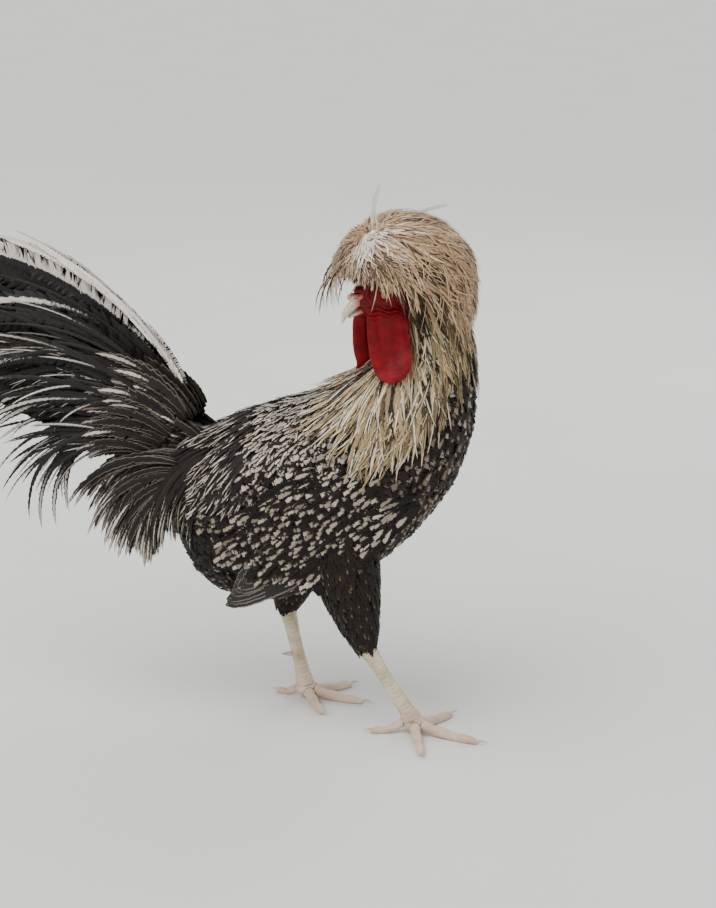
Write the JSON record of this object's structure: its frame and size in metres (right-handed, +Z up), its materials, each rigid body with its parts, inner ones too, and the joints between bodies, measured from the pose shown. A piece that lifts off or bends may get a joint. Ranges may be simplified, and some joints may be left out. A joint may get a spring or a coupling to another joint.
{
  "type": "crested chicken figure",
  "caption": "Life-size crested cockerel standing in mid-step, its head turned back, with a domed feather crest, hanging wattles, folded wings and a raised tail.",
  "frame": {"origin": "on the floor under the middle of the bounding box", "axes": "+Z up, +X the way the body faces from tail to breast, +Y the bird's left side"},
  "size_m": [0.5626, 0.1688, 0.4846],
  "materials": {
    "dark_feather": "matt blackish-brown feathers",
    "mottled_feather": "dark brown feathers mottled with buff and white",
    "buff_feather": "buff feathers streaked with brown",
    "red_skin": "smooth bare red skin",
    "horn": "pale satin horn",
    "shank_skin": "pale scaly skin",
    "eye_surface": "wet gloss"
  },
  "bodies": {
    "root": {"torso": "mottled_feather", "neck": "buff_feather", "head": "red_skin", "eye_left": "eye_surface", "eye_right": "eye_surface", "beak_upper": "horn", "beak_lower": "horn", "comb": "red_skin", "wattle_left": "red_skin", "wattle_right": "red_skin", "crest": "buff_feather", "tail": "dark_feather", "wing_left": "mottled_feather", "coverts_left": "mottled_feather", "thigh_left": "dark_feather", "shank_left": "shank_skin", "toe_left_middle": "shank_skin", "toe_left_outer": "shank_skin", "toe_left_inner": "shank_skin", "toe_left_hind": "shank_skin", "wing_right": "mottled_feather", "coverts_right": "mottled_feather", "thigh_right": "dark_feather", "shank_right": "shank_skin", "toe_right_middle": "shank_skin", "toe_right_outer": "shank_skin", "toe_right_inner": "shank_skin", "toe_right_hind": "shank_skin"}
  },
  "joints": []
}
